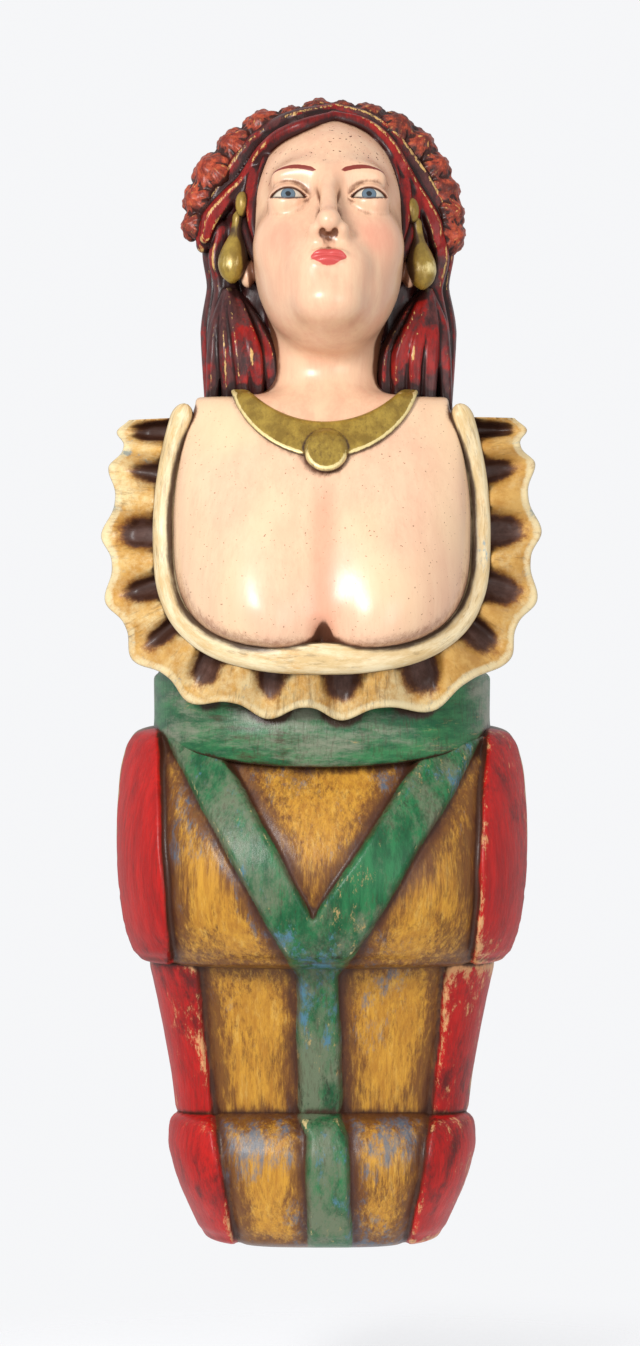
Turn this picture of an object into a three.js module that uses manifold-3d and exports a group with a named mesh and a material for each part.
// A ship's figurehead: a half-length woman with a flower wreath, a frilled low-cut bodice and a skirt
// that ends in three rolls, carved from one glued-up block of wood with a flat back.
// Millimetres, +Z up, +X to the viewer's right, the figure faces -Y and its back lies in the plane y = 0.
// Heights below are measured from the foot of the lowest roll. The group is then lowered so that the
// origin is at the middle of the flat back.
import * as THREE from "three";
import { mergeVertices } from "three/addons/utils/BufferGeometryUtils.js";
import Module from "manifold-3d";

const wasm = await Module();
wasm.setup();

// ---------------------------------------------------------------- driving dimensions
const MOUNT_HEIGHT = 340; // of the origin above the foot
const BACK_ALLOWANCE = 20; // wood left behind the back plane until it is sawn flat
const RELIEF = 6; // how far straps and bands stand proud
const SIDE_BAND_START = 45; // how far in front of the back the side bands begin
const WAISTBAND = { foot: 383, top: 440 };
const BREAST = { x: 57, y: -148, z: 528, radii: [60, 82, 70] };
const NECKLINE = { halfWidth: 122, drop: 105, turnHeight: 560, top: 660, squareness: 3 };
const BAND_WIDTH = 17;
const BAND_THICKNESS = 15;
const FRILL = { reach: 46, fall: 30, waves: 15, swing: 7, thickness: 11 };
const NECK = { radius: 45, from: [0, -84, 640], to: [4, -108, 750] };
const HEAD = { centre: [5, -98, 784], lookUp: 26 };
const WREATH = { centre: [3, -88, 799], halfWidth: 92, halfHeight: 84, lean: 26, flowers: 9, radius: 18 };
const EAR_DROP = { x: 70, y: -118, z: 752, length: 44, radius: 12.39 };
const NECKLACE = { outer: { x: 2, z: 690, radius: 73 }, inner: { x: 2, z: 722, radius: 78 } };
const PENDANT = { x: 3, z: 621, radius: 16 };

// ---------------------------------------------------------------- small tools
const signedPower = (value, power) => Math.sign(value) * Math.abs(value) ** power;

// A smooth function of height through [height, value] points.
function curveThrough(points) {
  const last = points.length - 1;
  const slopes = points.map((_, i) => {
    const [before, after] = [points[Math.max(i - 1, 0)], points[Math.min(i + 1, last)]];
    return (after[1] - before[1]) / (after[0] - before[0]);
  });
  return (z) => {
    let i = 0;
    while (i < last - 1 && z > points[i + 1][0]) i += 1;
    const [z0, v0] = points[i];
    const [z1, v1] = points[i + 1];
    const span = z1 - z0;
    const t = THREE.MathUtils.clamp((z - z0) / span, 0, 1);
    const [t2, t3] = [t * t, t * t * t];
    const ends = (2 * t3 - 3 * t2 + 1) * v0 + (3 * t2 - 2 * t3) * v1;
    return ends + span * ((t3 - 2 * t2 + t) * slopes[i] + (t3 - t2) * slopes[i + 1]);
  };
}

// Moves every vertex of a geometry to where place(vertex) says.
function warp(geometry, place) {
  const position = geometry.getAttribute("position");
  const vertex = new THREE.Vector3();
  for (let i = 0; i < position.count; i += 1) {
    vertex.fromBufferAttribute(position, i);
    position.setXYZ(i, ...place(vertex));
  }
  return geometry;
}

function solidOf(geometry) {
  const plain = geometry.index ? geometry.toNonIndexed() : geometry.clone();
  for (const name of Object.keys(plain.attributes)) if (name !== "position") plain.deleteAttribute(name);
  const merged = mergeVertices(plain, 1e-3);
  return new wasm.Manifold(
    new wasm.Mesh({
      numProp: 3,
      vertProperties: merged.getAttribute("position").array,
      triVerts: new Uint32Array(merged.index.array),
    }),
  );
}

function geometryOf(solid) {
  const mesh = solid.getMesh();
  const geometry = new THREE.BufferGeometry();
  geometry.setAttribute("position", new THREE.BufferAttribute(mesh.vertProperties, 3));
  geometry.setIndex(new THREE.BufferAttribute(mesh.triVerts, 1));
  geometry.computeVertexNormals();
  return geometry;
}

const join = (solids) => solids.reduce((whole, solid) => whole.add(solid));

function ellipsoid(centre, radii, around = 10, rings = 6) {
  return new THREE.SphereGeometry(1, around, rings)
    .rotateX(Math.PI / 2)
    .scale(...radii)
    .translate(...centre);
}

// A front-view outline of [x, z] points, extruded from the back plane towards the viewer.
function prism(outline, near = 0) {
  const corners = outline.map(([x, z]) => new THREE.Vector2(x, z));
  return new THREE.ExtrudeGeometry(new THREE.Shape(corners), { depth: 320 - near, bevelEnabled: false })
    .rotateX(Math.PI / 2)
    .translate(0, -near, 0);
}

// ---------------------------------------------------------------- lofted body masses
// A body mass is a stack of D-shaped sections. The back of each section is cut off later at y = 0, so
// the corners of a section are gathered towards the front.
const MASSES = {
  upperRoll: {
    heights: [222, 226, 236, 254, 285, 320, 360, 408],
    halfWidth: curveThrough([[222, 136], [226, 143], [242, 152], [275, 160], [320, 162], [376, 151], [408, 134]]),
    depth: curveThrough([[222, 134], [226, 150], [242, 174], [275, 186], [320, 180], [376, 158], [408, 146]]),
    squareness: 3.4,
  },
  middleRoll: {
    heights: [96, 135, 185, 232],
    halfWidth: curveThrough([[96, 106], [165, 116], [232, 128]]),
    depth: curveThrough([[96, 98], [165, 108], [232, 130]]),
    squareness: 4,
  },
  lowerRoll: {
    heights: [0, 4, 16, 36, 62, 90, 104, 108],
    halfWidth: curveThrough([[0, 78], [4, 84], [25, 98], [55, 113], [88, 118], [104, 112], [108, 106]]),
    depth: curveThrough([[0, 84], [4, 96], [25, 118], [55, 130], [88, 124], [104, 112], [108, 102]]),
    squareness: 3.6,
  },
  torso: {
    heights: [380, 440, 470, 510, 560, 605, 640, 660, 668],
    halfWidth: curveThrough([[380, 128], [440, 131], [520, 133], [600, 130], [640, 118], [668, 84]]),
    depth: curveThrough([[380, 146], [425, 150], [470, 186], [520, 194], [580, 176], [635, 146], [668, 96]]),
    squareness: 2.5,
  },
};

function loft(mass, grow = 0) {
  const levels = mass.heights.length - 1;
  const foot = mass.heights[0];
  const top = mass.heights[levels];
  return warp(new THREE.CylinderGeometry(1, 1, 1, 24, levels), (p) => {
    const height = mass.heights[Math.round((p.y + 0.5) * levels)];
    const endShift = height === foot ? -grow / 2 : height === top ? grow / 2 : 0;
    const radius = Math.hypot(p.x, p.z);
    const even = Math.atan2(p.z, p.x);
    const gathered = even + 0.5 * Math.cos(even);
    const [cosine, sine] = [Math.cos(gathered), Math.sin(gathered)];
    const power = 2 / mass.squareness;
    const forward = signedPower(sine, power) * (sine > 0 ? mass.depth(height) + grow : BACK_ALLOWANCE);
    const sideways = signedPower(cosine, power) * (mass.halfWidth(height) + grow);
    return [radius * sideways, -radius * forward, height + endShift];
  });
}

const raised = (mass, outline, grow = RELIEF, near = 0) =>
  solidOf(loft(mass, grow)).intersect(solidOf(prism(outline, near)));

// ---------------------------------------------------------------- skirt
// The Y-shaped strap as seen from the front: two arms from the waist, meeting in a stem to the foot.
const STRAP_OUTLINE = [
  [-121, 402], [-25, 222], [-19, 104], [-17, 90], [-15, -10], [23, -10], [26, 90], [19, 104],
  [21, 222], [124, 402], [84, 402], [-7, 261], [-80, 402],
];

// A side band lies outside an inner edge that runs from innerFoot up to innerTop.
const sideBand = (side, foot, top, innerFoot, innerTop) => [
  [side * innerFoot, foot],
  [side * innerTop, top],
  [side * 260, top],
  [side * 260, foot],
];

function skirt() {
  const { upperRoll, middleRoll, lowerRoll } = MASSES;
  const rolls = [upperRoll, middleRoll, lowerRoll].map((mass) => solidOf(loft(mass)));
  const straps = [upperRoll, middleRoll, lowerRoll].map((mass) => raised(mass, STRAP_OUTLINE, RELIEF - 1));
  const bands = [-1, 1].flatMap((side) => [
    raised(upperRoll, sideBand(side, 215, 420, 117, 125), RELIEF, SIDE_BAND_START),
    raised(middleRoll, sideBand(side, 96, 232, 86, 97), RELIEF, SIDE_BAND_START),
    raised(lowerRoll, sideBand(side, -10, 120, 66, 85), RELIEF, SIDE_BAND_START),
  ]);
  return [...rolls, ...straps, ...bands];
}

// ---------------------------------------------------------------- bodice
// The neckline runs as a square-cornered U. A point on it is found from a turn of -1 (upper left)
// through 0 (bottom middle) to 1 (upper right); out is its outward direction in the front view.
function necklinePoint(turn) {
  const { halfWidth, drop, turnHeight, top, squareness } = NECKLINE;
  const side = Math.sign(turn) || 1;
  const straightShare = 0.36;
  const share = Math.abs(turn);
  let [x, z] = [0, 0];
  if (share > 1 - straightShare) {
    const rise = (share - 1 + straightShare) / straightShare;
    z = turnHeight + rise * (top - turnHeight);
    x = halfWidth - 20 * rise * rise;
  } else {
    const angle = (share / (1 - straightShare)) * (Math.PI / 2);
    const power = 2 / squareness;
    x = halfWidth * signedPower(Math.sin(angle), power);
    z = turnHeight - drop * signedPower(Math.cos(angle), power);
  }
  const bulge = 84 * Math.sqrt(Math.max(0, 1 - (x / (halfWidth + 2)) ** 2));
  const lean = 26 * Math.max(0, (z - turnHeight) / (top - turnHeight));
  return new THREE.Vector3(side * x, -(118 + bulge - lean), z);
}

// The neckline as one smooth curve, so that pieces along it are spaced evenly.
const NECKLINE_STEPS = 24;
const necklineCurve = new THREE.CatmullRomCurve3(
  Array.from({ length: NECKLINE_STEPS + 1 }, (_, i) => necklinePoint((2 * i) / NECKLINE_STEPS - 1)),
);

function necklineFrame(share) {
  const centre = necklineCurve.getPointAt(THREE.MathUtils.clamp(share, 0, 1));
  const along = necklineCurve.getTangentAt(THREE.MathUtils.clamp(share, 0, 1));
  const out = new THREE.Vector3(along.z, 0, -along.x).normalize();
  return { centre, out };
}

// The rolled hem of the neckline: an oval section swept along it.
function necklineBand() {
  return warp(new THREE.CylinderGeometry(1, 1, 1, 8, 32), (p) => {
    const { centre, out } = necklineFrame(p.y + 0.5);
    const across = (p.x * BAND_WIDTH) / 2;
    const forward = (p.z * BAND_THICKNESS) / 2;
    return [centre.x + out.x * across, centre.y - forward, centre.z + out.z * across];
  });
}

// The frill: a pleated board that spreads from the hem, falls back and swings in flutes.
function frill() {
  const { reach, fall, waves, swing, thickness } = FRILL;
  return warp(new THREE.BoxGeometry(1, 1, 1, waves * 4, 1, 2), (p) => {
    const { centre, out } = necklineFrame(p.x + 0.5);
    const v = p.z + 0.5;
    const phase = 2 * Math.PI * waves * (p.x + 0.5);
    const reached = v * (reach + 4 * Math.cos(phase));
    const back = v * v * fall - 6 + v * swing * Math.cos(phase) + (0.5 - p.y) * thickness;
    return [centre.x + out.x * reached, centre.y + back, centre.z + out.z * reached];
  });
}

function bodice() {
  const waist = { ...MASSES.torso, heights: [WAISTBAND.foot, 410, WAISTBAND.top] };
  const breasts = [-1, 1].map((side) => ellipsoid([side * BREAST.x, BREAST.y, BREAST.z], BREAST.radii, 18, 11));
  return [loft(MASSES.torso), loft(waist, RELIEF), ...breasts, necklineBand(), frill()].map(solidOf);
}

// ---------------------------------------------------------------- neck and necklace
function neck() {
  const [from, to] = [new THREE.Vector3(...NECK.from), new THREE.Vector3(...NECK.to)];
  const axis = to.clone().sub(from);
  const turn = new THREE.Quaternion().setFromUnitVectors(new THREE.Vector3(0, 1, 0), axis.clone().normalize());
  return new THREE.CylinderGeometry(NECK.radius - 2, NECK.radius + 2, axis.length(), 20)
    .applyQuaternion(turn)
    .translate(...from.clone().add(to).multiplyScalar(0.5));
}

// The collar is a crescent: what a circle keeps when a higher one is taken from it.
function necklace() {
  const disc = ({ x, z, radius }) =>
    Array.from({ length: 32 }, (_, i) => {
      const angle = (2 * Math.PI * i) / 32;
      return [x + radius * Math.cos(angle), z + radius * Math.sin(angle)];
    });
  const plate = raised(MASSES.torso, disc(NECKLACE.outer));
  const collar = plate.subtract(solidOf(prism(disc(NECKLACE.inner))));
  return [collar, raised(MASSES.torso, disc(PENDANT), RELIEF + 4)];
}

// ---------------------------------------------------------------- head
const onHead = (geometry) =>
  geometry.rotateX(THREE.MathUtils.degToRad(-HEAD.lookUp)).translate(...HEAD.centre);

// Skull and jaw as one loft in the head's own frame: height, half width, middle and half depth.
const HEAD_SECTIONS = [
  [-100, 9, -72, 9], [-94, 21, -64, 22], [-82, 33, -54, 34], [-62, 46, -43, 46], [-38, 55, -33, 54],
  [-12, 62, -18, 66], [16, 66, 0, 80], [48, 64, 6, 82], [76, 52, 8, 66], [96, 20, 8, 26],
];

function skull() {
  const levels = HEAD_SECTIONS.length - 1;
  return warp(new THREE.CylinderGeometry(1, 1, 1, 20, levels), (p) => {
    const [height, halfWidth, middle, halfDepth] = HEAD_SECTIONS[Math.round((p.y + 0.5) * levels)];
    return [p.x * halfWidth, middle - p.z * halfDepth, height];
  });
}

function face() {
  const nose = new THREE.CylinderGeometry(4, 12, 50, 8).rotateX(Math.PI / 2 - 0.3).translate(0, -83, -17);
  const eyes = [-1, 1].map((side) => ellipsoid([side * 32, -70, 0], [15, 13, 9]));
  const lips = [ellipsoid([0, -87, -57], [22, 9, 5]), ellipsoid([0, -86, -65], [18, 9, 6])];
  const chin = ellipsoid([0, -78, -86], [19, 13, 13]);
  const brow = ellipsoid([0, -66, 26], [50, 16, 14]);
  return [skull(), nose, ...eyes, ...lips, chin, brow].map((piece) => solidOf(onHead(piece)));
}

// The combed front hair frames the face as a ridged roll that thins towards the parting.
function frontHair() {
  const sweep = THREE.MathUtils.degToRad(128);
  return warp(new THREE.CylinderGeometry(1, 1, 1, 10, 24), (p) => {
    const angle = -2 * sweep * p.y;
    const turn = Math.atan2(p.z, p.x);
    const radius = Math.hypot(p.x, p.z) * 13;
    const ring = radius * Math.cos(turn);
    return [
      (70 + ring) * Math.sin(angle),
      -42 + 30 * Math.sin(angle / 2) ** 2 - radius * Math.sin(turn),
      6 + (80 + ring) * Math.cos(angle),
    ];
  });
}

// A hank of hair from behind the ear down to the shoulder, wider and fluted towards its end.
function sideHank(side) {
  const heights = [664, 672, 700, 728, 745, 770, 800];
  const reach = curveThrough([[664, 30], [700, 29], [745, 20], [770, 20], [800, 20]]);
  const middle = curveThrough([[664, 68], [700, 69], [745, 73], [800, 78]]);
  const flutes = 5;
  return warp(new THREE.CylinderGeometry(1, 1, 1, 20, heights.length - 1), (p) => {
    const height = heights[Math.round((p.y + 0.5) * (heights.length - 1))];
    const turn = Math.atan2(p.z, p.x);
    const radius = Math.hypot(p.x, p.z) * (1 + 0.07 * Math.cos(2 * flutes * turn));
    const x = side * middle(height) + radius * Math.cos(turn) * reach(height);
    return [x, -84 - radius * Math.sin(turn) * 36, height];
  });
}

function hair() {
  const cap = onHead(ellipsoid([0, 12, 22], [78, 84, 80], 18, 10));
  const nape = ellipsoid([0, -62, 738], [92, 54, 96], 16, 9);
  return [cap, nape, onHead(frontHair()), sideHank(-1), sideHank(1)].map(solidOf);
}

// A carved flower: a ball with five lobed petals, turned to its place on the wreath.
function flower(angle) {
  const { centre, halfWidth, halfHeight, lean, radius } = WREATH;
  const ball = warp(new THREE.SphereGeometry(1, 10, 5).rotateX(Math.PI / 2), (p) => {
    const lobe = 1 + 0.12 * Math.cos(5 * Math.atan2(p.z, p.x)) * Math.hypot(p.x, p.z);
    return [p.x * radius * lobe, p.y * radius * lobe, p.z * radius * lobe];
  });
  const [x, z] = [centre[0] + halfWidth * Math.sin(angle), centre[2] + halfHeight * Math.cos(angle)];
  return solidOf(ball.rotateY(angle).translate(x, centre[1] + lean * Math.cos(angle), z));
}

function wreath() {
  const [first, last] = [-88, 92].map(THREE.MathUtils.degToRad);
  const step = (last - first) / (WREATH.flowers - 1);
  return Array.from({ length: WREATH.flowers }, (_, i) => flower(first + step * i));
}

function earDrop(side) {
  const { x, y, z, length, radius } = EAR_DROP;
  const steps = 6;
  const profile = Array.from({ length: steps + 1 }, (_, i) => {
    const share = i / steps;
    const pear = Math.sin(Math.PI * share ** 0.72) ** 0.8 * (1 - 0.45 * share);
    return new THREE.Vector2(i === 0 || i === steps ? 0 : radius * pear, share * length);
  });
  return solidOf(new THREE.LatheGeometry(profile, 8).rotateX(Math.PI / 2).translate(side * x, y, z));
}

// ---------------------------------------------------------------- the whole carving
function figurehead() {
  const carved = join([
    ...skirt(),
    ...bodice(),
    solidOf(neck()),
    ...necklace(),
    ...face(),
    ...hair(),
    ...wreath(),
    earDrop(-1),
    earDrop(1),
  ]);
  const behind = new THREE.BoxGeometry(800, 400, 2400).translate(0, 200, 0);
  return carved.subtract(solidOf(behind));
}

const paintedWood = new THREE.MeshStandardMaterial({ color: 0xc98f3c, roughness: 0.45, metalness: 0 });

const group = new THREE.Group();
const mesh = new THREE.Mesh(geometryOf(figurehead()), paintedWood);
mesh.name = "figurehead";
mesh.position.z = -MOUNT_HEIGHT;
group.add(mesh);

export default group;
